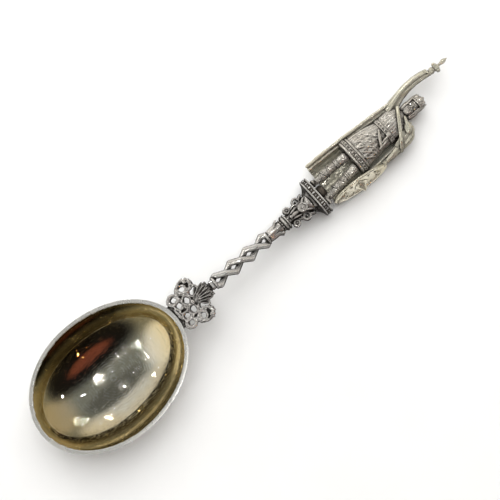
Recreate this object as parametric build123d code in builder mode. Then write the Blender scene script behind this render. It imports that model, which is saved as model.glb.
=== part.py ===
"""Figural souvenir spoon, silver, lying on its back.

A raised egg-shaped bowl, a pierced cartouche, an open twisted stem, a scrolled console and a cast
figure of a crowned warrior on a plinth, all soldered together.

Millimetres. X runs across the spoon, Y along it from the bowl's tip to the sword's tip, and Z up.
The origin is the middle of the spoon's length and width, on the surface that it lies on.
"""

import os
from math import cos, radians, sin, tan

from build123d import *

os.makedirs("parts", exist_ok=True)

# ---------------------------------------------------------------- driving dimensions
LENGTH = 193.0
HALF_LENGTH = LENGTH / 2

BOWL_HALF_WIDTH = 22.9
BOWL_TIP_REACH = 29.4  # from the widest section to the tip
BOWL_NECK_REACH = 32.6  # from the widest section to the handle
BOWL_DEPTH = 15.0
BOWL_RIM_LATITUDE = 20.0  # degrees below the egg's equator, so that the wall still slopes at the rim
BOWL_WALL = 1.2
HEEL_THICKNESS = 0.9

CARTOUCHE_THICKNESS = 2.0
CARTOUCHE_RISE = 2.5  # degrees
PALMETTE_RELIEF = 0.7
PETAL_COUNT = 5
PETAL_SPREAD = 12.0  # degrees from one petal to the next

HANDLE_FALL = 9.5  # degrees that the stem falls from the cartouche to the plinth
STEM_LENGTH = 24.85
STRAND_RADIUS = 0.72
TWIST_RADIUS = 1.95
TWIST_PITCH = 14.2  # one whole turn, so two openings
TWIST_START = -45.0  # degrees
CAP_RADIUS = 2.45
CAP_THICKNESS = 0.8
CALYX_LENGTH = 6.1
BEAD_RING_LENGTH = 1.0
BEAD_COUNT = 12
BEAD_RADIUS = 0.42
COLLAR_LENGTH = 2.3

PLINTH_TOP_Y = 30.9
PLINTH_PLATE = 3.3
PLINTH_FLARE = 1.7
PLINTH_BACK = 6.15  # depth from the figure's axis to the face the spoon rests on
BAND_RECESS = 0.3

CROWN_POINTS = 8
RIVET_COUNT = 12

# ---------------------------------------------------------------- places that follow
bowl_centre = (0, -HALF_LENGTH + BOWL_TIP_REACH, BOWL_DEPTH)
bowl_neck_y = -HALF_LENGTH + BOWL_TIP_REACH + BOWL_NECK_REACH

cartouche_tilt = radians(CARTOUCHE_RISE)
cartouche_plane = Plane(
    origin=(0, bowl_neck_y - 0.7, 13.3),
    x_dir=(1, 0, 0),
    z_dir=(0, -sin(cartouche_tilt), cos(cartouche_tilt)),
)

fall = radians(HANDLE_FALL)
stem_origin = Vector(0, -17.4, 13.9)
stem_plane = Plane(origin=stem_origin, x_dir=(1, 0, 0), z_dir=(0, cos(fall), -sin(fall)))
stem_front = -stem_plane.y_dir
turning_plane = Plane(origin=stem_origin, x_dir=(1, 0, 0), z_dir=stem_front)
stem_axis = Axis(stem_origin, stem_plane.z_dir)


def turning_at(distance):
    """The plane of a turned profile that starts the given distance along the stem."""
    origin = stem_origin + stem_plane.z_dir * distance
    return Plane(origin=origin, x_dir=(1, 0, 0), z_dir=stem_front)



calyx_start = STEM_LENGTH
bead_ring_start = calyx_start + CALYX_LENGTH
collar_start = bead_ring_start + BEAD_RING_LENGTH
console_start = collar_start + COLLAR_LENGTH
console_end_y = PLINTH_TOP_Y - PLINTH_PLATE - PLINTH_FLARE

# The figure stands along +Y: x is across, y goes to its back, and z is its height above the plinth.
figure_plane = Plane(origin=(0, PLINTH_TOP_Y, PLINTH_BACK), x_dir=(1, 0, 0), z_dir=(0, 1, 0))


def tapered(stations, grow=0.0):
    """A body lofted through ellipses of the figure: (height, x, y, half width, half depth)."""
    with BuildPart() as body:
        for height, x, y, half_width, half_depth in stations:
            with BuildSketch(figure_plane.offset(height)):
                with Locations((x, y)):
                    Ellipse(half_width + grow, half_depth + grow)
        loft()
    return body.part


# ---------------------------------------------------------------- bowl
rim_radius = cos(radians(BOWL_RIM_LATITUDE))  # of a unit sphere that is cut at the rim's latitude
rim_drop = sin(radians(BOWL_RIM_LATITUDE))


def half_egg(reach, grow, turn):
    """The part of an egg's end below the rim's plane, reaching along +Y, or -Y if turned."""
    with BuildPart() as half:
        Sphere(1, arc_size1=-90, arc_size2=-BOWL_RIM_LATITUDE, arc_size3=180, rotation=(0, 0, turn), align=None)
        scale(
            by=(
                (BOWL_HALF_WIDTH + grow) / rim_radius,
                (reach + grow) / rim_radius,
                (BOWL_DEPTH + grow) / (1 - rim_drop),
            )
        )
    return half.part.moved(Location((0, 0, rim_drop * (BOWL_DEPTH + grow) / (1 - rim_drop))))


def lower_egg(grow):
    """The lower half of the bowl's egg, grown all round: two ends that meet at the widest section."""
    ends = (half_egg(BOWL_NECK_REACH, grow, 0), half_egg(BOWL_TIP_REACH, grow, 180))
    with BuildPart() as egg:
        add(ends)
    return egg.part.moved(Location(bowl_centre))


outer_egg = lower_egg(0)
inner_egg = lower_egg(-BOWL_WALL)
heel_egg = lower_egg(HEEL_THICKNESS)

with BuildPart() as bowl:
    add(outer_egg)
    add(inner_egg, mode=Mode.SUBTRACT)

# A drop-shaped plate under the bowl stiffens the soldered joint with the handle.
HEEL_TOP_Z = 11.9
with BuildPart() as heel_plate:
    with BuildSketch(Plane.XY.offset(HEEL_TOP_Z)):
        with Locations((0, bowl_neck_y - 5.6)):
            Ellipse(3.4, 7.4)
    extrude(amount=-HEEL_TOP_Z)
    add(heel_egg, mode=Mode.INTERSECT)
    add(outer_egg, mode=Mode.SUBTRACT)

# ---------------------------------------------------------------- twisted stem
STRAND_RUN_OUT = 1.0  # extra length at both ends, cut off square
with BuildPart() as strand:
    with BuildLine() as coil:
        Helix(
            pitch=TWIST_PITCH,
            height=STEM_LENGTH + 2 * STRAND_RUN_OUT,
            radius=TWIST_RADIUS,
            center=(0, 0, -STRAND_RUN_OUT),
        )
    with BuildSketch(Plane(origin=coil.line @ 0, z_dir=coil.line % 0)):
        Circle(STRAND_RADIUS)
    sweep(is_frenet=True)
    with BuildSketch(Plane.XY.offset(CAP_THICKNESS)):
        Circle(CAP_RADIUS * 2)
    extrude(amount=STEM_LENGTH - 2 * CAP_THICKNESS, mode=Mode.INTERSECT)

strands = [stem_plane.location * Rot(0, 0, TWIST_START + turn) * strand.part for turn in (0, 180)]
with BuildPart() as twisted_stem:
    add(strands)
    for height in (0, STEM_LENGTH - CAP_THICKNESS):
        with BuildSketch(stem_plane.offset(height)):
            Circle(CAP_RADIUS)
        extrude(amount=CAP_THICKNESS)

LOWER_COLLAR_LENGTH = 1.3
with BuildPart() as lower_collar:
    with BuildSketch(stem_plane.offset(-LOWER_COLLAR_LENGTH)):
        RectangleRounded(3.4, 3.0, 0.8)
    extrude(amount=LOWER_COLLAR_LENGTH)

# ---------------------------------------------------------------- pierced cartouche
LOBES = ((4.6, 3.4, 2.2), (5.8, 7.4, 2.3), (5.9, 10.0, 2.5))
PIERCINGS = (
    (2.95, 10.8, 1.15, 1.5),
    (5.9, 7.7, 0.95, 1.3),
    (1.9, 6.9, 1.15, 0.9),
    (2.3, 3.7, 1.05, 0.9),
    (4.95, 3.4, 0.8, 0.95),
)
CARTOUCHE_LENGTH = 16.4

with BuildPart() as cartouche:
    with BuildSketch(cartouche_plane):
        for side in (-1, 1):
            for x, y, radius in LOBES:
                with Locations((side * x, y)):
                    Circle(radius)
        with Locations((0, 1.1)):
            Rectangle(9.4, 6.8)
        with Locations((0, 7.6)):
            Ellipse(5.2, 6.0)
        with Locations((0, 13.2)):
            Rectangle(5.6, 5.4)
        with Locations((0, CARTOUCHE_LENGTH)):
            Rectangle(3.0, 2.0)
        for side in (-1, 1):
            for x, y, half_width, half_height in PIERCINGS:
                with Locations((side * x, y)):
                    Ellipse(half_width, half_height, mode=Mode.SUBTRACT)
    extrude(amount=CARTOUCHE_THICKNESS / 2, both=True)
    add(outer_egg, mode=Mode.SUBTRACT)
    add(lower_collar.part, mode=Mode.SUBTRACT)
    add(heel_plate.part, mode=Mode.SUBTRACT)

PETAL_LENGTH = 7.6
palmette_base = (0, 8.4)
with BuildPart() as palmette:
    with BuildSketch(cartouche_plane.offset(CARTOUCHE_THICKNESS / 2)):
        for i in range(PETAL_COUNT):
            lean = (i - (PETAL_COUNT - 1) / 2) * PETAL_SPREAD
            reach = PETAL_LENGTH / 2
            centre = (
                palmette_base[0] + reach * sin(radians(lean)),
                palmette_base[1] + reach * cos(radians(lean)),
            )
            with Locations(Location((*centre, 0), (0, 0, -lean))):
                Ellipse(0.85, reach)
    extrude(amount=PALMETTE_RELIEF)

# ---------------------------------------------------------------- turned pieces of the handle
with BuildPart() as leaf_calyx:
    with BuildSketch(turning_at(calyx_start)):
        with BuildLine():
            swell = Spline((1.4, 0), (2.1, 2.6), (2.2, 4.4), (3.0, CALYX_LENGTH - 0.5))
            Polyline(swell @ 1, (2.5, CALYX_LENGTH), (0, CALYX_LENGTH), (0, 0), swell @ 0)
        make_face()
    revolve(axis=stem_axis)

with BuildPart() as bead_ring:
    with BuildSketch(stem_plane.offset(bead_ring_start)):
        Circle(1.7)
    extrude(amount=BEAD_RING_LENGTH)
    with Locations(stem_plane.offset(bead_ring_start + BEAD_RING_LENGTH / 2)):
        with PolarLocations(1.75, BEAD_COUNT):
            Sphere(BEAD_RADIUS)

with BuildPart() as upper_collar:
    with BuildSketch(turning_at(collar_start)):
        with BuildLine():
            Polyline(
                (0, 0), (2.4, 0), (2.9, 0.35), (2.9, 0.8), (2.5, 1.15), (2.9, 1.5), (2.9, 1.95),
                (2.4, COLLAR_LENGTH), (0, COLLAR_LENGTH), close=True,
            )
        make_face()
    revolve(axis=stem_axis)

# ---------------------------------------------------------------- console
CONSOLE_STATIONS = ((0, 4.6, 4.2), (3.0, 3.4, 3.4), (6.0, 4.6, 4.2), (10.6, 7.4, 6.0))
with BuildPart() as console:
    for height, width, depth in CONSOLE_STATIONS:
        with BuildSketch(stem_plane.offset(console_start + height)):
            RectangleRounded(width, depth, 0.8)
    loft()
    split(bisect_by=Plane(origin=(0, console_end_y, 0), z_dir=(0, 1, 0)), keep=Keep.BOTTOM)

VOLUTES = ((2.9, 1.6, 1.05, 2.4), (3.3, 6.4, 1.35, 2.8))
with BuildPart() as console_volutes:
    for side in (-1, 1):
        for x, height, radius, width in VOLUTES:
            with BuildSketch(turning_plane):
                with Locations((side * x, console_start + height)):
                    Circle(radius)
            extrude(amount=width / 2, both=True)
    add(console.part, mode=Mode.SUBTRACT)

MEDALLION_HEIGHT = 5.6
with BuildPart() as console_medallion:
    with BuildSketch(turning_plane):
        with Locations((0, console_start + MEDALLION_HEIGHT)):
            Ellipse(1.45, 1.9)
    extrude(amount=3.4)
    add(console.part, mode=Mode.SUBTRACT)
    split(bisect_by=turning_plane.offset(1.5), keep=Keep.TOP)

# ---------------------------------------------------------------- plinth
PLINTH_OUTLINE = (
    (-4.6, PLINTH_BACK), (-7.5, 2.8), (-7.5, -1.2), (-4.2, -4.6),
    (4.2, -4.6), (7.5, -1.2), (7.5, 2.8), (4.6, PLINTH_BACK),
)
PLINTH_LIP = 0.6

with BuildPart() as plinth:
    with BuildSketch(figure_plane.offset(-PLINTH_PLATE)):
        Polygon(*PLINTH_OUTLINE, align=None)
    extrude(amount=PLINTH_PLATE)
    with BuildSketch(figure_plane.offset(-PLINTH_PLATE)):
        with BuildLine():
            Polyline(*PLINTH_OUTLINE, close=True)
        make_face()
        offset(amount=-0.5, mode=Mode.REPLACE)
    with BuildSketch(figure_plane.offset(-PLINTH_PLATE - PLINTH_FLARE)):
        with BuildLine():
            Polyline(*[(x * 0.62, y * 0.62) for x, y in PLINTH_OUTLINE], close=True)
        make_face()
    loft()

with BuildPart() as plinth_band:
    with BuildSketch(figure_plane.offset(PLINTH_LIP - PLINTH_PLATE)):
        with BuildLine():
            Polyline(*PLINTH_OUTLINE, close=True)
        make_face()
        with BuildLine():
            Polyline(*PLINTH_OUTLINE, close=True)
        make_face()
        offset(amount=-BAND_RECESS, mode=Mode.SUBTRACT)
        with Locations((0, 5.0)):
            Rectangle(20, 12.4, mode=Mode.SUBTRACT)
    extrude(amount=PLINTH_PLATE - 2 * PLINTH_LIP)

with BuildPart() as plinth_body:
    add(plinth.part)
    add(plinth_band.part, mode=Mode.SUBTRACT)

# ---------------------------------------------------------------- figure: legs
RIGHT_LEG = (
    (1.5, -3.8, 0.3, 1.05, 1.2), (3.2, -3.9, 0.3, 1.1, 1.2), (7.4, -4.0, 0.6, 1.65, 1.8),
    (11.8, -3.9, 0.1, 1.5, 1.6), (16.7, -3.6, 0.0, 2.0, 2.1),
)
LEFT_LEG = (
    (1.5, 3.1, 0.3, 1.05, 1.2), (3.2, 2.95, 0.3, 1.1, 1.2), (7.4, 2.4, 0.6, 1.7, 1.8),
    (11.8, 1.9, 0.0, 1.55, 1.65), (16.7, 1.5, 0.0, 2.0, 2.1),
)
SHOE_HEIGHT = 1.5

right_leg_body = tapered(RIGHT_LEG)
left_leg_body = tapered(LEFT_LEG)

with BuildPart() as right_leg:
    add(right_leg_body)
    with BuildSketch(figure_plane):
        with Locations(Location((-4.0, -1.1, 0), (0, 0, -8))):
            SlotOverall(5.0, 2.2, rotation=90)
    extrude(amount=SHOE_HEIGHT)

with BuildPart() as left_leg:
    add(left_leg_body)
    with BuildSketch(figure_plane):
        with Locations(Location((3.7, -0.8, 0), (0, 0, 38))):
            SlotOverall(5.0, 2.2, rotation=90)
    extrude(amount=SHOE_HEIGHT)

# Rough ground rises behind and between the feet.
MOUND_OUTLINE = ((-2.7, 1.6), (-1.6, 0.2), (1.2, 0.4), (1.9, 1.8), (1.4, 4.4), (-2.4, 4.6))
with BuildPart() as ground_mound:
    with BuildSketch(figure_plane):
        Polygon(*MOUND_OUTLINE, align=None)
    extrude(amount=2.9, taper=8)
    add(right_leg.part, mode=Mode.SUBTRACT)
    add(left_leg.part, mode=Mode.SUBTRACT)

# ---------------------------------------------------------------- figure: body
TUNIC = (
    (16.7, -1.9, 0.1, 6.5, 4.1), (24.0, -1.9, 0.1, 5.8, 3.8), (31.6, -1.2, 0.1, 4.7, 3.0),
    (36.0, -1.4, 0.0, 4.9, 3.2), (39.6, -1.2, 0.3, 4.4, 2.5), (41.2, -1.1, 0.4, 1.9, 1.7),
)
MANTLE = (
    (31.4, 5.3, 0.5, 2.3, 2.3), (35.0, 4.9, 0.4, 2.9, 2.7), (38.4, 3.9, 0.4, 2.7, 2.5),
    (40.4, 2.4, 0.5, 1.9, 1.7),
)
BELT = (31.1, 32.4)
HEM = (16.7, 19.7)
BELT_THICKNESS = 0.45

HEM_THICKNESS = 0.3
BORDER_THICKNESS = 0.6
tunic_body = tapered(TUNIC)
mantle_body = tapered(MANTLE)
belt_cover = tapered(TUNIC, grow=BELT_THICKNESS)
hem_cover = tapered(TUNIC, grow=HEM_THICKNESS)
chest_cover = tapered(TUNIC, grow=BORDER_THICKNESS)
mantle_cover = tapered(MANTLE, grow=BORDER_THICKNESS)

with BuildPart() as tunic:
    add(tunic_body)

with BuildPart() as mantle:
    add(mantle_body)
    add(tunic.part, mode=Mode.SUBTRACT)

with BuildPart() as belt:
    with BuildSketch(figure_plane.offset(BELT[0])):
        Rectangle(30, 30)
    extrude(amount=BELT[1] - BELT[0])
    add(belt_cover, mode=Mode.INTERSECT)
    add(tunic.part, mode=Mode.SUBTRACT)
    add(mantle.part, mode=Mode.SUBTRACT)

with BuildPart() as hem_band:
    with BuildSketch(figure_plane.offset(HEM[0])):
        Rectangle(30, 30)
    extrude(amount=HEM[1] - HEM[0])
    add(hem_cover, mode=Mode.INTERSECT)
    add(tunic.part, mode=Mode.SUBTRACT)

# The mantle's border crosses the chest from the right side of the neck to the left elbow.
BORDER_START = (-4.3, 40.6)
BORDER_END = (7.9, 31.6)
BORDER_WIDTH = 1.3
border_middle = tuple((a + b) / 2 for a, b in zip(BORDER_START, BORDER_END))
with BuildPart() as mantle_border:
    add(chest_cover)
    add(mantle_cover)
    with BuildSketch(Plane(origin=figure_plane.origin, x_dir=(1, 0, 0), z_dir=(0, 0, 1))):
        with Locations(border_middle):
            Rectangle(15.2, BORDER_WIDTH, rotation=-36.4)
    extrude(amount=10, mode=Mode.INTERSECT)
    for neighbour in (tunic, mantle, belt):
        add(neighbour.part, mode=Mode.SUBTRACT)

# ---------------------------------------------------------------- figure: head and crown
HEAD_X = -1.1
HEAD = (
    (40.9, HEAD_X, 0.3, 1.7, 1.6), (42.4, HEAD_X, 0.1, 2.6, 2.3), (45.0, HEAD_X, 0.0, 3.0, 2.6),
    (47.6, HEAD_X, 0.2, 2.5, 2.4), (48.9, HEAD_X, 0.3, 1.4, 1.4),
)
head_body = tapered(HEAD)

with BuildPart() as head:
    add(head_body)
    for neighbour in (tunic, mantle, mantle_border):
        add(neighbour.part, mode=Mode.SUBTRACT)

CROWN_RADIUS = 2.85
CROWN_BAND = (46.6, 48.0)
CROWN_TOP = 49.8
with BuildPart() as crown:
    with BuildSketch(figure_plane.offset(CROWN_BAND[0])):
        with Locations((HEAD_X, 0.2)):
            Circle(CROWN_RADIUS)
    extrude(amount=CROWN_BAND[1] - CROWN_BAND[0])
    for i in range(CROWN_POINTS // 2):
        lean = i * 360 / CROWN_POINTS
        spike_plane = Plane(
            origin=figure_plane.from_local_coords((HEAD_X, 0.2, 0)),
            x_dir=(cos(radians(lean)), 0, sin(radians(lean))),
            z_dir=(-sin(radians(lean)), 0, cos(radians(lean))),
        )
        with BuildSketch(spike_plane):
            for side in (-1, 1):
                with BuildLine():
                    Polyline(
                        (side * 1.6, CROWN_BAND[1]), (side * CROWN_RADIUS, CROWN_BAND[1]),
                        (side * CROWN_RADIUS, CROWN_TOP - 0.3), (side * 2.4, CROWN_TOP),
                        close=True,
                    )
                make_face()
        extrude(amount=0.55, both=True)
    add(head.part, mode=Mode.SUBTRACT)

# ---------------------------------------------------------------- figure: raised sword arm
FIST_TOP = 59.6
SWORD_X = -6.2
GUARD_HEIGHT = 1.6
with BuildPart() as sword:
    with BuildSketch(figure_plane.offset(57.2)):
        with Locations((SWORD_X, -0.1)):
            Circle(0.45)
    extrude(amount=FIST_TOP - 57.2)
    with BuildSketch(figure_plane.offset(FIST_TOP)):
        with Locations((SWORD_X, -0.1)):
            RectangleRounded(3.9, 1.5, 0.5)
    extrude(amount=GUARD_HEIGHT)
    for height, half_width, half_depth in ((61.2, 0.55, 0.4), (63.8, 0.8, 0.5), (65.6, 0.1, 0.1)):
        with BuildSketch(figure_plane.offset(height)):
            with Locations((SWORD_X, -0.1)):
                Ellipse(half_width, half_depth)
    loft(ruled=True)

RIGHT_ARM = (
    (37.4, -5.4, 0.4, 2.0, 1.9), (44.0, -7.4, 0.2, 1.65, 1.7), (50.5, -7.8, 0.0, 1.55, 1.6),
    (57.4, -6.3, -0.1, 0.9, 0.95),
)
FIST_HEIGHT = 58.4
FIST_RADIUS = 1.3
right_arm_body = tapered(RIGHT_ARM)

with BuildPart() as right_arm:
    add(right_arm_body)
    with Locations(figure_plane.location * Location((SWORD_X, -0.1, FIST_HEIGHT))):
        Sphere(FIST_RADIUS)
    with BuildSketch(figure_plane.offset(FIST_TOP)):
        Rectangle(30, 30)
    extrude(amount=FIST_RADIUS, mode=Mode.SUBTRACT)
    for neighbour in (tunic, mantle_border, head, sword):
        add(neighbour.part, mode=Mode.SUBTRACT)

# ---------------------------------------------------------------- figure: shield and shield arm
SHIELD_TURN = 25.0  # degrees that the shield's face turns from the side to the front
SHIELD_THICKNESS = 0.9
SHIELD_HALF_WIDTH = 4.3
SHIELD_BOTTOM = 3.2
SHIELD_TOP = 23.6
SHIELD_LEAN = 4.5
shield_turn = radians(SHIELD_TURN)
shield_lean = radians(SHIELD_LEAN)
shield_normal = Vector(cos(shield_turn), 0, sin(shield_turn))
shield_middle = (SHIELD_BOTTOM + SHIELD_TOP) / 2
shield_plane = Plane(
    origin=figure_plane.from_local_coords((7.4, 0.4, shield_middle)),
    x_dir=(-sin(shield_turn), 0, cos(shield_turn)),
    z_dir=shield_normal,
).rotated((0, 0, 0))
shield_half_height = (SHIELD_TOP - SHIELD_BOTTOM) / 2

with BuildPart() as shield:
    with BuildSketch(shield_plane):
        with BuildLine():
            right_side = Spline(
                (0, -shield_half_height), (SHIELD_HALF_WIDTH, 0.5), (0.0, shield_half_height),
                tangents=((1, 0.9), (-1, 0.25)),
            )
            mirror(right_side, about=Plane.YZ)
        make_face()
    extrude(amount=SHIELD_THICKNESS)

with BuildPart() as shield_boss:
    with BuildSketch(shield_plane.offset(SHIELD_THICKNESS)):
        Circle(1.7)
    extrude(amount=1.9, taper=35)

with BuildPart() as shield_rivets:
    with BuildSketch(shield_plane.offset(SHIELD_THICKNESS)):
        with PolarLocations(1, RIVET_COUNT) as spots:
            pass
        for spot in spots.local_locations:
            with Locations((spot.position.X * 3.2, spot.position.Y * 7.2)):
                Circle(0.3)
    extrude(amount=0.35)

LEFT_ARM = ((24.4, 7.3, -0.2, 1.0, 1.0), (27.0, 7.0, -0.1, 0.95, 1.0), (31.4, 6.3, 0.4, 1.3, 1.35))
left_arm_body = tapered(LEFT_ARM)

with BuildPart() as left_arm:
    add(left_arm_body)
    with Locations(figure_plane.location * Location((7.4, -0.2, 24.2))):
        Sphere(1.3)
    for neighbour in (shield, tunic, mantle, mantle_border, belt):
        add(neighbour.part, mode=Mode.SUBTRACT)

# ---------------------------------------------------------------- figure: cloak
CLOAK = ((2.9, -1.8, 8.4, 5.2), (16.0, -1.6, 8.2, 5.2), (30.0, -0.8, 7.4, 4.8), (39.5, -0.9, 5.6, 3.6))
CLOAK_WALL = 0.9
with BuildPart() as cloak:
    for height, x, half_width, half_depth in CLOAK:
        with BuildSketch(figure_plane.offset(height)):
            with Locations((x, 0.5)):
                Ellipse(half_width, half_depth)
    loft()
    for height, x, half_width, half_depth in CLOAK:
        with BuildSketch(figure_plane.offset(height)):
            with Locations((x, 0.5)):
                Ellipse(half_width - CLOAK_WALL, half_depth - CLOAK_WALL)
    loft(mode=Mode.SUBTRACT)
    with BuildSketch(figure_plane):
        with Locations((0, -6)):
            Rectangle(40, 13)
    extrude(amount=60, mode=Mode.SUBTRACT)
    for neighbour in (
        tunic, mantle, mantle_border, belt, hem_band, right_arm, left_arm, right_leg, left_leg,
        ground_mound, shield, head,
    ):
        add(neighbour.part, mode=Mode.SUBTRACT)

# ---------------------------------------------------------------- hand in
pieces = {
    "bowl": bowl,
    "heel_plate": heel_plate,
    "cartouche": cartouche,
    "palmette": palmette,
    "lower_collar": lower_collar,
    "twisted_stem": twisted_stem,
    "leaf_calyx": leaf_calyx,
    "bead_ring": bead_ring,
    "upper_collar": upper_collar,
    "console": console,
    "console_volutes": console_volutes,
    "console_medallion": console_medallion,
    "plinth": plinth_body,
    "plinth_band": plinth_band,
    "ground_mound": ground_mound,
    "right_leg": right_leg,
    "left_leg": left_leg,
    "tunic": tunic,
    "hem_band": hem_band,
    "belt": belt,
    "mantle": mantle,
    "mantle_border": mantle_border,
    "head": head,
    "crown": crown,
    "right_arm": right_arm,
    "sword": sword,
    "left_arm": left_arm,
    "shield": shield,
    "shield_boss": shield_boss,
    "shield_rivets": shield_rivets,
    "cloak": cloak,
}
for label, piece in pieces.items():
    piece.part.label = label
    export_step(piece.part, f"parts/{label}.step")
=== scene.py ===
# %% [markdown]
# # A silver spoon with a standing figure
# The spoon is a set of small castings that are soldered together. Each casting is modelled here as a
# beginner would do it by hand: add a simple shape, extrude and scale it ring by ring, round it, then give
# it relief. The first cell loads the measured frame that every piece has to fit.

# %% Load the frame
from math import atan2, cos, pi, radians, sin

import bmesh
import bpy
from mathutils import Matrix, Vector


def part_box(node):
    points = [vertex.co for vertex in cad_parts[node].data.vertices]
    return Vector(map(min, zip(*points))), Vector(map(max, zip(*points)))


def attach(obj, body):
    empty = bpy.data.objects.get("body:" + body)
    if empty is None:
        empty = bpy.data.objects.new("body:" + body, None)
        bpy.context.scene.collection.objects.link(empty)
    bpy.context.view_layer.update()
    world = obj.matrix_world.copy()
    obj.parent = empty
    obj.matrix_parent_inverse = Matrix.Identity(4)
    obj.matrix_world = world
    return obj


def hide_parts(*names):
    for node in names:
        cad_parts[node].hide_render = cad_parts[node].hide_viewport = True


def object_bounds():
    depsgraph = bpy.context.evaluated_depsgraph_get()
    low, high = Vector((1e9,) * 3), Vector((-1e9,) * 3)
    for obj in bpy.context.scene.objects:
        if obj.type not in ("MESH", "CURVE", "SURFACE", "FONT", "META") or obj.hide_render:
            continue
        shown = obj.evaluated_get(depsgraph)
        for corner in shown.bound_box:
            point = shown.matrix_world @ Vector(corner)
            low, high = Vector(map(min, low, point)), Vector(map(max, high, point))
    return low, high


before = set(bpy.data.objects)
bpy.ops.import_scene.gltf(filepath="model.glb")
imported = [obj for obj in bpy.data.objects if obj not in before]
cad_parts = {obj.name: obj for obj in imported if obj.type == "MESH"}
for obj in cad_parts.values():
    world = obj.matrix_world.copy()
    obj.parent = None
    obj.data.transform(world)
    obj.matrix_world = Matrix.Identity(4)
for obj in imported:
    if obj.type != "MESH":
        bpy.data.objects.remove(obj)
cad_box = [list(corner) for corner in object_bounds()]
middle = (Vector(cad_box[0]) + Vector(cad_box[1])) / 2
print("frame loaded, middle of the spoon at", [round(v, 4) for v in middle])

# %% [markdown]
# ## Working places
# A spoon is easiest to model in millimetres, with each part standing upright. Three places on the spoon
# are used again and again: the table's own axes, the sloping handle, and the lying figure. A piece is
# shaped upright and then laid into its place, and the move is applied so that its object stays at the
# origin.

# %% Places on the spoon
MM = 0.001
FALL = radians(9.5)
RISE = radians(2.5)
rim_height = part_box("bowl")[1][2]
feet_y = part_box("tunic")[0][1] - 16.7 * MM
back_depth = 6.15 * MM
stem_start = Vector((0, -17.4, 13.9)) * MM
plate_start = Vector((0, -35.25, 13.3)) * MM

PLACES = {
    "table": Matrix.Identity(4),
    "figure": Matrix.Translation((0, feet_y, back_depth)) @ Matrix.Rotation(-pi / 2, 4, "X"),
    "handle": Matrix.Translation(stem_start) @ Matrix.Rotation(-pi / 2 - FALL, 4, "X"),
    "plate": Matrix.Translation(plate_start) @ Matrix.Rotation(RISE, 4, "X"),
}
print("figure stands from y", round(feet_y, 4), "and the bowl's rim is at z", round(rim_height, 4))

# %% [markdown]
# ## Hand tools
# These short helpers are the moves of a modelling session: deselect, pick vertices by place, draw a shape
# out ring by ring, round it, press a relief into it, and fuse several shapes as a casting.

# %% Selecting
def deselect():
    """Leaves edit mode and deselects everything, because operators act on all that is selected."""
    if bpy.context.mode != "OBJECT":
        bpy.ops.object.mode_set(mode="OBJECT")
    bpy.ops.object.select_all(action="DESELECT")


def take(piece, *others):
    """Selects the pieces and makes the first one active."""
    deselect()
    for each in (piece, *others):
        each.select_set(True)
    bpy.context.view_layer.objects.active = piece


def open_mesh(piece):
    """Goes into edit mode on one piece with everything selected."""
    take(piece)
    bpy.ops.object.mode_set(mode="EDIT")
    bpy.ops.mesh.select_mode(type="VERT")
    bpy.ops.mesh.select_all(action="SELECT")


def pick(test):
    """In edit mode, selects the vertices whose place passes the test."""
    bpy.ops.mesh.select_all(action="DESELECT")
    cage = bmesh.from_edit_mesh(bpy.context.object.data)
    for corner in cage.verts:
        corner.select_set(bool(test(corner.co)))
    cage.select_flush(True)
    bmesh.update_edit_mesh(bpy.context.object.data)


def grow(by, centre=(0, 0, 0)):
    """In edit mode, scales what is selected from a fixed centre."""
    bpy.ops.transform.resize(value=by, center_override=centre)


def shift(x, y, z):
    """In edit mode, moves what is selected."""
    bpy.ops.transform.translate(value=(x, y, z))


def settle(piece, move=None):
    """Moves a piece if a move is given, and applies it, so that the object stays at the origin."""
    take(piece)
    if move is not None:
        piece.matrix_world = move
    bpy.ops.object.transform_apply(location=True, rotation=True, scale=True)
    return piece


# %% Drawing out, rounding and relief
def close_mesh(piece, doubles=0.0):
    """Merges doubles if asked, turns the normals outwards and leaves edit mode."""
    open_mesh(piece)
    if doubles:
        bpy.ops.mesh.remove_doubles(threshold=doubles)
    bpy.ops.mesh.normals_make_consistent(inside=False)
    bpy.ops.object.mode_set(mode="OBJECT")
    return piece


def draw_out(name, rings, sides=24):
    """Adds a disc and extrudes it through rings given as (x, y, z, half width, half depth)."""
    deselect()
    bpy.ops.mesh.primitive_circle_add(vertices=sides, radius=1, fill_type="NGON", location=(0, 0, 0))
    piece = bpy.context.object
    piece.name = name
    open_mesh(piece)
    x, y, z, wide, deep = rings[0]
    grow((wide, deep, 1))
    shift(x, y, z)
    for nx, ny, nz, new_wide, new_deep in rings[1:]:
        bpy.ops.mesh.extrude_region_move(TRANSFORM_OT_translate={"value": (nx - x, ny - y, nz - z)})
        grow((new_wide / wide, new_deep / deep, 1), (nx, ny, nz))
        x, y, z, wide, deep = nx, ny, nz, new_wide, new_deep
    return close_mesh(piece)


def upright(name, x, y, steps, sides=24):
    """Draws a straight shape up through (height, half width) or (height, half width, half depth)."""
    return draw_out(name, [(x, y, *step, step[-1])[:5] for step in steps], sides)


def add_modifier(piece, kind, **settings):
    """Adds a modifier with its settings and applies it."""
    modifier = piece.modifiers.new(kind.title(), kind)
    for key, value in settings.items():
        setattr(modifier, key, value)
    take(piece)
    bpy.ops.object.modifier_apply(modifier=modifier.name)


def round_off(piece, levels=2):
    add_modifier(piece, "SUBSURF", levels=levels, render_levels=levels)
    return piece


def press(piece, texture, depth, level=0.5):
    """Presses a procedural relief into the surface, in millimetres."""
    add_modifier(
        piece, "DISPLACE", texture=texture, strength=depth, mid_level=level, texture_coords="LOCAL"
    )
    return piece


def fuse(piece, grain, passes=2):
    """Melts all of a piece's overlapping shapes into one skin, as a casting has."""
    add_modifier(piece, "REMESH", mode="VOXEL", voxel_size=grain, adaptivity=0)
    if passes:
        add_modifier(piece, "SMOOTH", factor=0.5, iterations=passes)
    return piece


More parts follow.
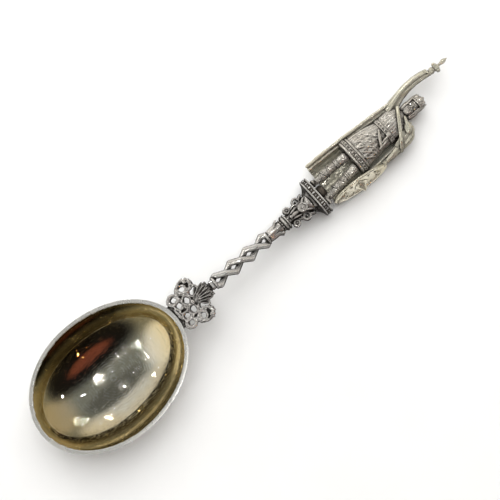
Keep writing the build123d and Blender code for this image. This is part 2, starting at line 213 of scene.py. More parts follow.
def join(name, pieces):
    take(*pieces)
    bpy.ops.object.join()
    piece = bpy.context.object
    piece.name = name
    return piece


def cast(name, parts, grain, passes=1):
    """Joins shapes under one name and fuses them."""
    return fuse(join(name, parts), grain, passes)


# %% Balls, rings and cords
def ball(x, y, z, wide, deep, high, turn=(0, 0, 0), segments=16):
    """A ball at its size and place, turned by degrees about its own middle."""
    deselect()
    bpy.ops.mesh.primitive_uv_sphere_add(segments=segments, ring_count=segments // 2, radius=1)
    piece = bpy.context.object
    piece.scale = (wide, deep, high)
    piece.rotation_euler = [radians(angle) for angle in turn]
    piece.location = (x, y, z)
    return settle(piece)


def balls(*rows):
    """Balls from rows of the values that ball takes."""
    return [ball(*row) for row in rows]


def pairs(middle_x, *rows):
    """Balls in mirrored pairs. A row is the one on the +X side: place, size and three angles if turned."""
    made = []
    for side in (-1, 1):
        for x, y, z, wide, deep, high, *angles in rows:
            a, b, c = angles or (0, 0, 0)
            made.append(ball(middle_x + side * x, y, z, wide, deep, high, (a, side * b, side * c)))
    return made


def ring(x, y, z, wide, deep, thick, turn=(0, 0, 0), major=28):
    """A round wire bent to an oval of half width and half depth."""
    deselect()
    bpy.ops.mesh.primitive_torus_add(
        major_radius=wide, minor_radius=thick, major_segments=major, minor_segments=8
    )
    piece = bpy.context.object
    open_mesh(piece)
    grow((1, deep / wide, 1))
    bpy.ops.object.mode_set(mode="OBJECT")
    piece.rotation_euler = [radians(angle) for angle in turn]
    piece.location = (x, y, z)
    return settle(piece)


def string(points, thick, beads=5):
    """A soft cord of overlapping balls through the points, with its thickness given along it."""
    parts = []
    for start, stop in zip(points, points[1:]):
        for index in range(beads):
            spot = Vector(start).lerp(Vector(stop), index / beads)
            parts.append(ball(*spot, *thick, segments=10))
    parts.append(ball(*points[-1], *thick, segments=10))
    return parts


def copies(piece, turns):
    """Copies of a piece, each with its own mesh, turned about the upright axis."""
    made = []
    for turn in turns:
        take(piece)
        bpy.ops.object.duplicate(linked=False)
        made.append(settle(bpy.context.object, Matrix.Rotation(radians(turn), 4, "Z")))
    return made


def relief_texture(name, kind, size, **settings):
    texture = bpy.data.textures.new(name, kind)
    texture.noise_scale = size
    for key, value in settings.items():
        setattr(texture, key, value)
    return texture


# %% Handing a piece over
def hand_over(piece, place, nodes, slot, *finishes, angle=60):
    """Lays a millimetre model in its place, and gives it its finish and its part in the frame."""
    settle(piece, PLACES[place] @ Matrix.Scale(MM, 4))
    piece.data.materials.clear()
    for finish in finishes:
        piece.data.materials.append(finish)
    take(piece)
    bpy.ops.object.shade_smooth_by_angle(angle=radians(angle))
    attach(piece, "root")
    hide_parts(*nodes)
    print(f"{piece.name}: {len(piece.data.polygons)} faces, for {', '.join(nodes)}")


# %% [markdown]
# ## Silver and gilt
# Old silver is bright where fingers rub it and black with tarnish where they can't reach. One node group
# finds the recesses, from how enclosed a point is and how sharply the surface turns, and adds painted shade
# where the surface faces away from the top, so that the sides of each piece are dark. Another node group
# makes fine scratches. Each silver uses both with its own colours. The tarnish is a dark skin on the metal,
# so it also makes the surface less metallic, and the painted side shade does the same. The gilt bowl has
# polishing lines, small pits and a painted dark reflection on its -X side.

# %% Node helpers and groups
def new_group(name, inputs, outputs):
    """An empty shader node group with named sockets."""
    group = bpy.data.node_groups.new(name, "ShaderNodeTree")
    for label, kind, value in inputs:
        socket = group.interface.new_socket(label, in_out="INPUT", socket_type="NodeSocket" + kind)
        socket.default_value = value
    for label, kind in outputs:
        group.interface.new_socket(label, in_out="OUTPUT", socket_type="NodeSocket" + kind)
    return group, group.nodes.new("NodeGroupInput"), group.nodes.new("NodeGroupOutput")


def feed(tree, target, wires):
    """Wires or fills a node's inputs by name or number."""
    for key, value in wires.items():
        if isinstance(value, bpy.types.NodeSocket):
            tree.links.new(value, target.inputs[key])
        else:
            target.inputs[key].default_value = value


def node(tree, kind, wires=None, **settings):
    """Adds a node, sets its properties, and feeds its inputs."""
    new = tree.nodes.new("ShaderNode" + kind)
    for key, value in settings.items():
        setattr(new, key, value)
    feed(tree, new, wires or {})
    return new


def blend_colours(tree, share, first, second):
    return node(tree, "Mix", {0: share, 6: first, 7: second}, data_type="RGBA").outputs[2]


def rescale(tree, value, low, high, start=0.0, end=1.0):
    return node(tree, "MapRange", {0: value, 1: low, 2: high, 3: start, 4: end}).outputs[0]


def calc(tree, operation, *values, **settings):
    """A Math node's result from its values, in order."""
    return node(tree, "Math", dict(enumerate(values)), operation=operation, **settings).outputs[0]


recess, taken, given = new_group(
    "Recess tarnish and side shade",
    [("Reach", "Float", 0.001), ("Amount", "Float", 1.0), ("Side shade", "Float", 0.8)],
    [("Tarnish and side shade", "Float"), ("Rub", "Float")],
)
spots = node(recess, "TexCoord")
cloud = node(recess, "TexNoise", {"Vector": spots.outputs["Object"], "Scale": 900.0, "Detail": 3.0})
hidden = node(recess, "AmbientOcclusion", {"Distance": taken.outputs["Reach"]}, samples=6)
shape = node(recess, "NewGeometry")
closed_in = rescale(recess, hidden.outputs["AO"], 0.96, 0.66)
hollow = rescale(recess, shape.outputs["Pointiness"], 0.496, 0.466)
both = calc(recess, "MAXIMUM", closed_in, hollow)
# painted shade: faces that turn away from the top are darkened, so that the sides of each piece are dark
facing = node(recess, "SeparateXYZ", {0: spots.outputs["Normal"]})
painted_side_shade = rescale(recess, facing.outputs["Z"], 0.84, 0.42)
painted_side_shade = calc(recess, "MULTIPLY", painted_side_shade, taken.outputs["Side shade"])
both = calc(recess, "MAXIMUM", both, painted_side_shade)
patchy = rescale(recess, cloud.outputs[0], 0.3, 0.7, 0.8, 1.3)
grown = calc(recess, "MULTIPLY", both, patchy)
amount = calc(recess, "MULTIPLY", grown, taken.outputs["Amount"], use_clamp=True)
edge = rescale(recess, shape.outputs["Pointiness"], 0.52, 0.6)
feed(recess, given, {"Tarnish and side shade": amount, "Rub": edge})

scratch, taken, given = new_group(
    "Fine scratches",
    [("Scale", "Float", 1.0)],
    [("Height", "Float"), ("Haze", "Float")],
)
spots = node(scratch, "TexCoord")
fineness = calc(scratch, "MULTIPLY", taken.outputs["Scale"], 2600.0)
layers = []
for turn, stretch in ((20, (1, 0.06, 1)), (-35, (0.05, 1, 1)), (75, (1, 0.08, 0.5))):
    turned = node(
        scratch, "Mapping", {0: spots.outputs["Object"], 2: (0.2, 0.1, radians(turn)), 3: stretch}
    )
    lines = node(scratch, "TexNoise", {"Vector": turned.outputs[0], "Scale": fineness, "Detail": 2.0})
    layers.append(rescale(scratch, lines.outputs[0], 0.6, 0.72))
top = calc(scratch, "MAXIMUM", layers[0], layers[1])
top = calc(scratch, "MAXIMUM", top, layers[2])
fog = node(scratch, "TexNoise", {"Vector": spots.outputs["Object"], "Scale": 160.0, "Detail": 5.0})
feed(scratch, given, {"Height": top, "Haze": rescale(scratch, fog.outputs[0], 0.35, 0.7)})
print("groups:", recess.name, "and", scratch.name)


# %% Finishes
TARNISH_AND_SHADE_ROUGHNESS = 0.55
METAL_SHARE, TARNISHED_AND_SHADED_SHARE = 0.78, 0.2


def new_finish(name):
    """A material, its node tree and its shader."""
    finish = bpy.data.materials.new(name)
    finish.use_nodes = True
    return finish, finish.node_tree, finish.node_tree.nodes["Principled BSDF"]


def silver(
    name, bright, stained, black, reach, amount, sides, polish=0.14, worn=0.34, bump=0.05, grain=0.0
):
    """Old silver: bright on top with painted shade on its sides, stained in patches, and black with tarnish
    in the recesses.
    """
    finish, tree, shader = new_finish(name)
    # the sides argument sets how strong the painted shade is on faces turned away from the top
    tarnish_and_side_shade = node(tree, "Group", {"Reach": reach, "Amount": amount, "Side shade": sides}, node_tree=recess)
    dark = tarnish_and_side_shade.outputs["Tarnish and side shade"]
    marks = node(tree, "Group", node_tree=scratch)
    haze = marks.outputs["Haze"]
    body = blend_colours(tree, haze, (*bright, 1), (*stained, 1))
    body = blend_colours(tree, tarnish_and_side_shade.outputs["Rub"], body, (*bright, 1))
    rough = rescale(tree, haze, 0, 1, polish, worn)
    height = marks.outputs["Height"]
    if grain:
        where = node(tree, "TexCoord").outputs["Object"]
        pits = node(tree, "TexNoise", {"Vector": where, "Scale": 2200.0, "Detail": 4.0})
        height = calc(tree, "MULTIPLY_ADD", pits.outputs[0], grain, height)
    relief = node(tree, "Bump", {"Height": height, "Strength": bump, "Distance": 0.06 * MM})
    feed(tree, shader, {
        "Base Color": blend_colours(tree, dark, body, (*black, 1)),
        "Metallic": rescale(tree, dark, 0, 1, METAL_SHARE, TARNISHED_AND_SHADED_SHARE),
        "Specular IOR Level": 0.15,
        "Specular Tint": (0.7, 0.68, 0.65, 1),
        "Roughness": node(tree, "Mix", {0: dark, 2: rough, 3: TARNISH_AND_SHADE_ROUGHNESS}).outputs[0],
        "Normal": relief.outputs[0],
    })
    return finish


BLACK = (0.016, 0.014, 0.012)
UMBER = (0.04, 0.034, 0.024)
bright_silver = silver(
    "Rubbed silver", (0.95, 0.93, 0.90), (0.78, 0.74, 0.69), BLACK, 1.1 * MM, 1.1, 1.0, 0.12, 0.28
)
cast_silver = silver(
    "Cast silver", (0.95, 0.91, 0.84), (0.74, 0.68, 0.60), (0.02, 0.016, 0.013),
    1.3 * MM, 1.3, 0.6, 0.14, 0.30, 0.2, 3.0,
)
warm_silver = silver(
    "Warm silver", (0.96, 0.92, 0.78), (0.74, 0.69, 0.54), (0.025, 0.02, 0.014),
    1.2 * MM, 1.2, 0.65, 0.16, 0.4, 0.15, 2.0,
)
shell_silver = silver(
    "Bowl silver", (0.95, 0.94, 0.91), (0.84, 0.82, 0.77), (0.2, 0.18, 0.15),
    0.8 * MM, 0.25, 0.0, 0.2, 0.34,
)
cloak_silver = silver(
    "Cloak silver", (0.97, 0.93, 0.80), (0.78, 0.73, 0.58), UMBER, 0.8 * MM, 0.8, 0.5, 0.16, 0.36, 0.12, 2.0
)
shield_silver = silver(
    "Shield silver", (0.97, 0.92, 0.78), (0.76, 0.70, 0.54), UMBER,
    0.6 * MM, 0.55, 0.08, 0.14, 0.32, 0.12, 2.0,
)
chased_silver = silver(
    "Chased silver", (0.92, 0.89, 0.86), (0.60, 0.56, 0.52), BLACK,
    1.5 * MM, 1.35, 1.0, 0.14, 0.32, 0.2, 2.0,
)
# used on the plinth's sunk band, and as painted shade on the ground between the feet
black_silver = silver(
    "Blackened silver and painted shade", (0.20, 0.17, 0.14), (0.07, 0.06, 0.05), BLACK,
    1.0 * MM, 1.0, 0.9, 0.3, 0.5, 0.2, 3.0,
)
print("silvers ready:", ", ".join(m.name for m in bpy.data.materials if "silver" in m.name))


# %% Gilding
TO_BOWL_CENTRE = (0, 66.5 * MM, -2 * MM)


def gilt(name):
    """Pale worn gilding with polishing lines, small pits and a painted dark reflection on one side."""
    finish, tree, shader = new_finish(name)
    where = node(tree, "TexCoord").outputs["Object"]
    marks = node(tree, "Group", node_tree=scratch)
    centred = node(tree, "Mapping", {0: where, 1: TO_BOWL_CENTRE}).outputs[0]
    patch = node(tree, "TexNoise", {"Vector": where, "Scale": 90.0, "Detail": 4.0}).outputs[0]
    oval = node(tree, "Mapping", {0: centred, 3: (44.0, 32.0, 0.0)}).outputs[0]
    spread = node(tree, "VectorMath", {0: oval}, operation="LENGTH").outputs["Value"]
    spread = calc(tree, "MULTIPLY_ADD", patch, 0.3, spread)
    # polishing lines, strongest in the middle
    rings = node(
        tree, "TexWave", {0: centred, 1: 330.0, 2: 6.0, 3: 4.0, 4: 2.0},
        wave_type="RINGS", rings_direction="SPHERICAL",
    )
    broken = node(tree, "TexNoise", {"Vector": centred, "Scale": 420.0, "Detail": 3.0})
    gaps = rescale(tree, broken.outputs[0], 0.42, 0.6)
    lines = calc(tree, "MULTIPLY", rings.outputs["Fac"], gaps)
    lines = calc(tree, "MULTIPLY", lines, rescale(tree, spread, 0.3, 0.75, 1.0, 0.1))
    # relief
    pits = node(tree, "TexVoronoi", {"Vector": where, "Scale": 420.0})
    pit = rescale(tree, pits.outputs["Distance"], 0.07, 0.03)
    height = calc(tree, "MULTIPLY_ADD", pit, -0.8, lines)
    height = calc(tree, "MULTIPLY_ADD", marks.outputs["Height"], 0.8, height)
    relief = node(tree, "Bump", {"Height": height, "Strength": 0.26, "Distance": 0.05 * MM}).outputs[0]
    # colour: worn pale in the middle, gold towards the rim, a painted dark reflection on the -X side
    gold = rescale(tree, spread, 0.62, 1.02)
    colour = blend_colours(tree, gold, (0.78, 0.75, 0.64, 1), (0.92, 0.74, 0.40, 1))
    across = node(tree, "SeparateXYZ", {0: where}).outputs["X"]
    painted_dark_reflection = rescale(tree, calc(tree, "MULTIPLY_ADD", patch, 10 * MM, across), -7 * MM, -11.5 * MM, 0.0, 0.92)
    colour = blend_colours(tree, painted_dark_reflection, colour, (0.16, 0.12, 0.06, 1))
    glint = rescale(tree, lines, 0.05, 0.55, 0.0, 0.55)
    colour = blend_colours(tree, glint, colour, (0.98, 0.97, 0.93, 1))
    haze = rescale(tree, marks.outputs["Haze"], 0, 1, 0.0, 0.02)
    rough = calc(tree, "ADD", haze, rescale(tree, spread, 0.22, 0.60, 0.13, 0.015))
    feed(tree, shader, {"Base Color": colour, "Metallic": 1.0, "Roughness": rough, "Normal": relief})
    return finish


pale_gilt = gilt("Pale gilt")
print("gilding ready:", pale_gilt.name)

# %% [markdown]
# ## Bowl
# A bowl is raised from sheet, so it has one even wall and no joint. A sphere made from a subdivided cube
# has no pole to pinch the reflections. It is cut short of its equator, so that the wall still leans
# outwards at the rim, scaled to an egg, each end by its own length, and then given its wall. The faces on
# the inside take the gilding.

# %% Raise the bowl
HALF_LENGTH = 96.5
HALF_WIDTH, NECK_REACH, TIP_REACH, DEPTH, WALL = 22.9, 32.6, 29.4, 15.0, 1.15
RIM_LATITUDE = radians(20)
rim_radius, rim_drop = cos(RIM_LATITUDE), sin(RIM_LATITUDE)
rim_middle = Vector((0, TIP_REACH - HALF_LENGTH, DEPTH))
deselect()
bpy.ops.mesh.primitive_cube_add(size=1)
bowl = bpy.context.object
bowl.name = "bowl_shell"
open_mesh(bowl)
bpy.ops.mesh.subdivide(number_cuts=39)
bpy.ops.transform.tosphere(value=1)
bpy.ops.object.mode_set(mode="OBJECT")
add_modifier(bowl, "CAST", factor=1.0, radius=1.0, use_radius_as_size=True, size=1.0)
open_mesh(bowl)
bpy.ops.mesh.bisect(plane_co=(0, 0, -rim_drop), plane_no=(0, 0, 1), clear_outer=True)
close_mesh(bowl, 0.008)
open_mesh(bowl)
bpy.ops.mesh.select_all(action="DESELECT")
bpy.ops.mesh.select_non_manifold()
grow((1, 1, 0), (0, 0, -rim_drop))
open_mesh(bowl)
shift(0, 0, rim_drop)
grow((HALF_WIDTH / rim_radius, 1, DEPTH / (1 - rim_drop)))
for reach, side in ((NECK_REACH, 1), (TIP_REACH, -1)):
    pick(lambda place: place.y * side > 1e-6)
    grow((1, reach / rim_radius, 1))
close_mesh(bowl)
round_off(bowl, 1)
print("egg raised:", len(bowl.data.polygons), "faces")

# %% Give the bowl its wall, rim and gilding
HIGH_ABOVE, RIM_BAND = 12, 0.3
add_modifier(bowl, "SOLIDIFY", thickness=WALL, offset=-1, use_even_offset=True)
open_mesh(bowl)
pick(lambda place: place.z > -0.02)
grow((1, 1, 0))
open_mesh(bowl)
shift(*rim_middle)
bpy.ops.object.mode_set(mode="OBJECT")
add_modifier(bowl, "BEVEL", width=0.4, segments=4, limit_method="ANGLE", angle_limit=radians(50))
hand_over(bowl, "table", ["bowl"], "gilt_bowl", shell_silver, pale_gilt, angle=40)
above_bowl = (rim_middle + Vector((0, 0, HIGH_ABOVE))) * MM
for face in bowl.data.polygons:
    inward = face.normal.dot(above_bowl - face.center) > 0
    face.material_index = int(inward and face.center.z < (DEPTH - RIM_BAND) * MM)
print("gilded faces:", sum(face.material_index for face in bowl.data.polygons))

# %% [markdown]
# ## Pierced cartouche
# The plate between bowl and stem is cast openwork: scrolls with raised edges round dark holes. The
# measured plate gives the outline. A wire round each hole, a scroll on each lobe, small leaves on the
# shoulders and beads where scrolls meet are laid over it, and all are melted together as in a casting.

# %% Scrolls of the cartouche
TOP, PLATE_DROP = 0.85, 0.35
HOLES = (
    (2.95, 10.8, 1.15, 1.5), (5.9, 7.7, 0.95, 1.3), (1.9, 6.9, 1.15, 0.9), (2.3, 3.7, 1.05, 0.9),
    (4.95, 3.4, 0.8, 0.95),
)
take(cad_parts["cartouche"])
bpy.ops.object.duplicate(linked=False)
plate = bpy.context.object
plate.parent = None
settle(plate, (PLACES["plate"] @ Matrix.Scale(MM, 4)).inverted())
close_mesh(plate, 0.005)
open_mesh(plate)
pick(lambda place: place.z > 0)
shift(0, 0, -PLATE_DROP)
bpy.ops.object.mode_set(mode="OBJECT")
parts = [plate]
for side in (-1, 1):
    for x, y, wide, high in HOLES:
        parts.append(ring(side * x, y, TOP, wide + 0.58, high + 0.58, 0.46))
    parts.append(ring(side * 6.1, 9.3, TOP, 2.2, 2.6, 0.6))
    parts.append(ring(side * 5.0, 3.3, TOP, 1.7, 1.9, 0.6))
parts += pairs(
    0, (7.3, 10.6, TOP + 0.2, 0.75, 0.75, 0.7), (4.3, 12.0, TOP + 0.2, 0.6, 0.6, 0.6),
    (3.8, 5.4, TOP + 0.2, 0.6, 0.6, 0.7), (6.3, 4.9, TOP + 0.1, 0.5, 0.5, 0.6),
    (0.9, 5.2, TOP + 0.2, 0.55, 0.55, 0.7),
)
for turn in range(20, 150, 26):
    x, y = 6.2 + 2.1 * cos(radians(turn)), 9.6 + 2.3 * sin(radians(turn))
    parts += pairs(0, (x, y, TOP - 0.1, 0.95, 0.36, 0.75, 0, 0, turn))
parts.append(ring(0, 3.9, TOP, 1.0, 1.2, 0.4))
parts += balls((0, 5.4, TOP + 0.3, 0.8, 0.6, 0.7), (0, 1.6, TOP, 2.6, 0.7, 0.6))
cartouche = cast("cartouche_scrolls", parts, 0.12)
press(cartouche, relief_texture("Chased leaves", "VORONOI", 1.15, distance_metric="DISTANCE"), -0.42, 0.32)
hand_over(cartouche, "plate", ["cartouche"], "polished_silver", chased_silver, angle=50)

# %% [markdown]
# ## Palmette
# A fan of hollow leaves lies on the plate. One leaf is a long ball, widened at its tip, with its middle
# pressed down so that it keeps a raised edge.

# %% One leaf and its fan
LEAF_WIDTH = 1.5


def hollow_leaf(y, z, long, high, lean):
    """A leaf that points along +Y from its foot, with a furrow down its middle."""
    leaf = ball(0, long / 2, 0, LEAF_WIDTH / 2, long / 2, high, segments=24)
    open_mesh(leaf)
    pick(lambda place: place.y > long * 0.62)
    grow((1.3, 1, 1.15), (0, long, 0))
    pick(lambda place: place.z > 0 and abs(place.x) < LEAF_WIDTH * 0.2)
    shift(0, 0, -high * 0.75)
    return settle(leaf, Matrix.Translation((0, y, z)) @ Matrix.Rotation(radians(-lean), 4, "Z"))


leaves = [hollow_leaf(8.3, 1.0, 8.4 - 0.03 * abs(lean), 0.75, lean) for lean in (-24, -12, 0, 12, 24)]
leaves += [hollow_leaf(9.0, 0.8, 5.6, 0.7, lean) for lean in (-44, 44)]
leaves.append(ball(0, 8.4, 1.2, 1.0, 0.8, 0.8))
palmette = cast("palmette_fan", leaves, 0.1)
hand_over(palmette, "plate", ["palmette"], "polished_silver", chased_silver)

# %% [markdown]
# ## Twisted stem
# Two drawn strands turn round each other and leave an eye at each half turn. Filed wire runs straight
# between soft corners, so each strand is a cord of balls through the corners of a square spiral. The
# strands and their caps are melted together, and both ends are cut square.

# %% Strands
STEM_LENGTH, TWIST_PITCH, TWIST_RADIUS = 24.85, 14.2, 1.9
WIRE = (1.2, 1.05, 1.2)


def strand(turn):
    """A wire through the corners of a square spiral, a quarter turn apart."""
    corners = []
    for quarter in range(9):
        angle = radians(turn + 90 * quarter)
        height = TWIST_PITCH * (quarter - 0.5) / 4
        corners.append((TWIST_RADIUS * cos(angle), TWIST_RADIUS * sin(angle), height))
    return string(corners, WIRE, 8)


parts = [*strand(-90), *strand(90)]
for z in (0.35, STEM_LENGTH - 0.4):
    steps = ((z - 0.5, 1.9, 1.8), (z - 0.3, 2.45, 2.2), (z + 0.3, 2.45, 2.2), (z + 0.6, 1.7))
    parts.append(upright("cap", 0, 0, steps))
stem = cast("twisted_strands", parts, 0.12, 2)
open_mesh(stem)
for height, up in ((-0.1, -1), (STEM_LENGTH + 0.1, 1)):
    bpy.ops.mesh.select_all(action="SELECT")
    bpy.ops.mesh.bisect(plane_co=(0, 0, height), plane_no=(0, 0, up), clear_outer=True, use_fill=True)
close_mesh(stem)
hand_over(stem, "handle", ["twisted_stem"], "polished_silver", bright_silver, angle=45)

# %% [markdown]
# ## Leaf cup, beads and collars
# Above the stem a cup of upright leaves opens under a row of beads and a grooved collar. One leaf and
# one bead are modelled and then copied round the axis, and the grooved collar is drawn out like a turned
# one. The measured lower collar and heel plate already have the right shape and only take the finish.

# %% Cup of leaves
CUP_START, CUP_LENGTH = 24.85, 6.1
cup = upright(
    "cup", 0, 0,
    ((CUP_START, 1.5), (25.6, 2.0), (27.0, 2.2), (28.6, 1.95), (30.0, 2.2), (CUP_START + CUP_LENGTH, 2.3)),
)
leaf = ball(0, -1.75, 27.9, 0.95, 0.6, 3.1, segments=20)
open_mesh(leaf)
pick(lambda place: place.z > 29.4)
shift(0, -0.75, 0)
pick(lambda place: place.z > 30.3)
shift(0, -0.45, -0.25)
pick(lambda place: abs(place.x) < 0.2 and place.y < -1.9)
shift(0, -0.16, 0)
small = ball(0, -1.5, 26.9, 0.6, 0.6, 2.0, segments=12)
cup_parts = [cup, leaf, *copies(leaf, range(60, 360, 60)), *copies(small, range(30, 390, 60))]
take(small)
bpy.ops.object.delete()
calyx = cast("leaf_cup", cup_parts, 0.12)
hand_over(calyx, "handle", ["leaf_calyx"], "polished_silver", chased_silver)

# %% Beads
BEAD_HEIGHT = 31.45
bead = ball(0, -1.85, BEAD_HEIGHT, 0.5, 0.5, 0.5)
core = upright("core", 0, 0, ((30.95, 1.6), (BEAD_HEIGHT, 1.75), (31.95, 1.6)))
beads = cast("bead_row", [core, bead, *copies(bead, range(30, 360, 30))], 0.1, 0)
hand_over(beads, "handle", ["bead_ring"], "polished_silver", chased_silver)

# %% Grooved collar
collar = upright(
    "grooved_collar", 0, 0,
    ((31.95, 2.3), (32.15, 2.6), (32.5, 2.95), (32.8, 2.95), (33.0, 2.5), (33.2, 2.5), (33.4, 2.9),
     (33.8, 2.9), (34.05, 2.5), (34.25, 2.3)),
    40,
)
add_modifier(collar, "BEVEL", width=0.1, segments=2, limit_method="ANGLE", angle_limit=radians(20))
hand_over(collar, "handle", ["upper_collar"], "polished_silver", bright_silver, angle=40)

# %% Kept pieces
for name in ("lower_collar", "heel_plate"):
    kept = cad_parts[name]
    kept.data.materials.clear()
    kept.data.materials.append(bright_silver)
print("kept with a new finish: lower_collar, heel_plate")

# %% [markdown]
# ## Console
# The bracket under the plinth has a narrow waist with two scrolls on each side and a curl in front. Each
# scroll is a wire that is wound to a ring with a ball in its eye, joined to the waist by a leaf.

# %% Waist and scrolls
waist = upright(
    "waist", 0, 0,
    ((34.2, 2.0), (35.2, 1.5, 1.6), (37.5, 1.5), (39.5, 2.0, 1.9), (41.8, 2.6, 2.4), (44.2, 3.6, 2.9)),
    20,
)
parts = [waist]
for x, z, size in ((2.85, 36.1, 1.0), (3.15, 40.6, 1.25)):
    for side in (-1, 1):
        for depth in (-0.55, 0.55):
            parts.append(ring(side * x, depth, z, size, size, 0.45, (90, 0, 0)))
    parts += pairs(0, (x, 0, z, 0.55, 1.4, 0.55))
parts += pairs(
    0, (2.5, 0, 38.3, 0.6, 1.1, 1.9, 0, 24, 0), (3.6, 0, 42.6, 0.6, 1.2, 1.5, 0, 35, 0),
    (1.3, -1.7, 37.6, 0.45, 0.6, 1.8, 0, 12, 0), (1.9, -2.0, 42.3, 0.5, 0.7, 1.7, 0, 30, 0),
)
for z, size in ((41.0, 1.35), (40.7, 0.75)):
    parts.append(ring(0, -2.3, z, size, size * 1.2, 0.38, (90, 0, 0)))
parts += balls(
    (0, -2.3, 40.9, 0.45, 0.6, 0.6), (0, -1.9, 37.4, 0.75, 0.8, 1.7), (0, -2.1, 35.7, 0.7, 0.7, 0.7),
    (0, -2.4, 43.3, 1.0, 0.7, 0.8),
)
parts += balls(*((x, y, 35.4, 0.7, 0.7, 0.8) for x, y in ((2, 0), (0, 2), (-2, 0))))
console = cast("console_scrolls", parts, 0.13)
console_nodes = ["console", "console_volutes", "console_medallion"]
hand_over(console, "handle", console_nodes, "polished_silver", chased_silver)

# %% [markdown]
# ## Plinth
# The figure stands on an eight-sided plate with a lip above and below a sunk band, over a flared foot.
# The plate is one outline that is extruded and scaled step by step, like a moulding. The band carries a
# plain row of lozenges and beads.

# %% Moulded plate
OUTLINE = (
    (-4.6, 6.15), (-7.5, 2.8), (-7.5, -1.2), (-4.2, -4.6),
    (4.2, -4.6), (7.5, -1.2), (7.5, 2.8), (4.6, 6.15),
)
BACK, MIDDLE_Y = 6.15, 0.6


def plate_through(name, steps):
    """Extrudes the plinth's outline through (height, share of its size)."""
    deselect()
    bpy.ops.mesh.primitive_circle_add(vertices=8, radius=1, fill_type="NGON")
    piece = bpy.context.object
    piece.name = name
    open_mesh(piece)
    cage = bmesh.from_edit_mesh(piece.data)
    for corner, place in zip(cage.verts, OUTLINE):
        corner.co = (*place, 0)
    bmesh.update_edit_mesh(piece.data)
    z, share = steps[0]
    grow((share, share, 1), (0, MIDDLE_Y, 0))
    shift(0, 0, z)
    for new_z, new_share in steps[1:]:
        bpy.ops.mesh.extrude_region_move(TRANSFORM_OT_translate={"value": (0, 0, new_z - z)})
        grow((new_share / share, new_share / share, 1), (0, MIDDLE_Y, new_z))
        z, share = new_z, new_share
    return close_mesh(piece)


plinth = plate_through(
    "plinth_plate",
    [(-5.0, 0.50), (-4.4, 0.56), (-3.7, 0.67), (-3.1, 0.81), (-2.75, 0.95), (-2.6, 1.0), (-2.25, 1.0),
     (-2.1, 0.95), (-0.6, 0.95), (-0.45, 1.0), (-0.1, 1.0), (0.0, 0.975)],
)
add_modifier(plinth, "BEVEL", width=0.13, segments=3, limit_method="ANGLE", angle_limit=radians(25))
open_mesh(plinth)
bpy.ops.mesh.bisect(plane_co=(0, BACK, 0), plane_no=(0, 1, 0), clear_outer=True, use_fill=True)
close_mesh(plinth)
hand_over(plinth, "figure", ["plinth"], "polished_silver", bright_silver, black_silver, angle=35)
band_low, band_high = feet_y - 2.15 * MM, feet_y - 0.55 * MM
for face in plinth.data.polygons:
    face.material_index = int(band_low < face.center.y < band_high and abs(face.normal.y) < 0.5)

# %% Row of lozenges and beads
BAND_SIZE, SPACING = 0.965, 1.15
corners = [Vector((x, y - MIDDLE_Y, 0)) * BAND_SIZE + Vector((0, MIDDLE_Y, 0)) for x, y in OUTLINE]
parts = []
for start, stop in ((1, 2), (2, 3), (3, 4), (4, 5), (5, 6)):
    run = corners[stop] - corners[start]
    count = max(2, round(run.length / SPACING))
    turn = (0, 0, run.to_track_quat("X", "Z").to_euler().z * 180 / pi)
    for index in range(count):
        spot = corners[start] + run * ((index + 0.5) / count)
        if index % 2:
            parts.append(ball(spot.x, spot.y, -1.35, 0.3, 0.3, 0.3, turn, 10))
        else:
            parts.append(ball(spot.x, spot.y, -1.35, 0.42, 0.32, 0.66, turn, 8))
    for height in (-2.16, -0.55):
        parts.append(ball(*(corners[start] + run / 2).xy, height, run.length / 2, 0.16, 0.12, turn, 12))
band = join("plinth_ornament", parts)
hand_over(band, "figure", ["plinth_band"], "oxidised_silver", bright_silver)

# %% [markdown]
# ## The figure
# The warrior is modelled standing, with the front towards -Y, and is laid on the table at the end. Cloth
# is drawn out from a disc, and then every second row of corners is pulled in, so that the folds run up
# the whole piece. Fine texture is pressed in with small procedural patterns, as a chaser's punches would.

# %% Figure tools
def draw_folds(name, rings, sides, share):
    """Draws a shape out like draw_out, and then pulls in every second row of corners by a share."""
    piece = draw_out(name, rings, sides)
    step = 2 * pi / sides
    for x, y, z, wide, deep in rings:
        open_mesh(piece)
        pick(
            lambda place: abs(place.z - z) < 0.01
            and round(angle_of(place, x, y, wide, deep) / step) % 2
        )
        grow((share, share, 1), (x, y, z))
    bpy.ops.object.mode_set(mode="OBJECT")
    return piece


def angle_of(place, x, y, wide, deep):
    return atan2((place.y - y) / deep, (place.x - x) / wide) + 2 * pi


punch = relief_texture("Punched curls", "VORONOI", 0.55, distance_metric="DISTANCE")
ripple = relief_texture("Hammered ripple", "CLOUDS", 0.7, noise_depth=2)
coarse = relief_texture("Cloth ripple", "CLOUDS", 2.2, noise_depth=1)
print("relief patterns:", punch.name, ripple.name, coarse.name)

# %% Legs with wrapped leggings and shoes
WRAPS = ((2.3, -22), (4.1, 22), (5.9, -22), (7.7, 22), (9.5, -22), (11.2, 0), (11.9, 0))


def leg(name, rings, toe, turn):
    """A leg drawn out from ankle to thigh, with leggings, wrappings and a shoe."""
    shin = draw_out(name, rings, 20)
    round_off(shin, 2)
    press(shin, punch, -0.45, 0.35)
    x, y = rings[0][:2]
    parts = [shin]
    parts.append(ball(x + toe[0], y + toe[1], 0.75, 1.1, 2.5, 0.85, (0, 0, turn)))
    parts.append(ball(x, y + 0.3, 0.8, 1.2, 1.4, 0.95, (0, 0, turn)))
    for height, tilt in WRAPS:
        near = min(rings, key=lambda each: abs(each[2] - height))
        share, thick = (1.02, 0.2) if tilt else (1.04, 0.26)
        parts.append(ring(near[0], near[1], height, near[3] * share, near[4] * share, thick, (0, tilt, 0)))
    piece = cast(name, parts, 0.14)
    open_mesh(piece)
    bpy.ops.mesh.bisect(plane_co=(0, 0, 0), plane_no=(0, 0, 1), clear_inner=True, use_fill=True)
    return close_mesh(piece)


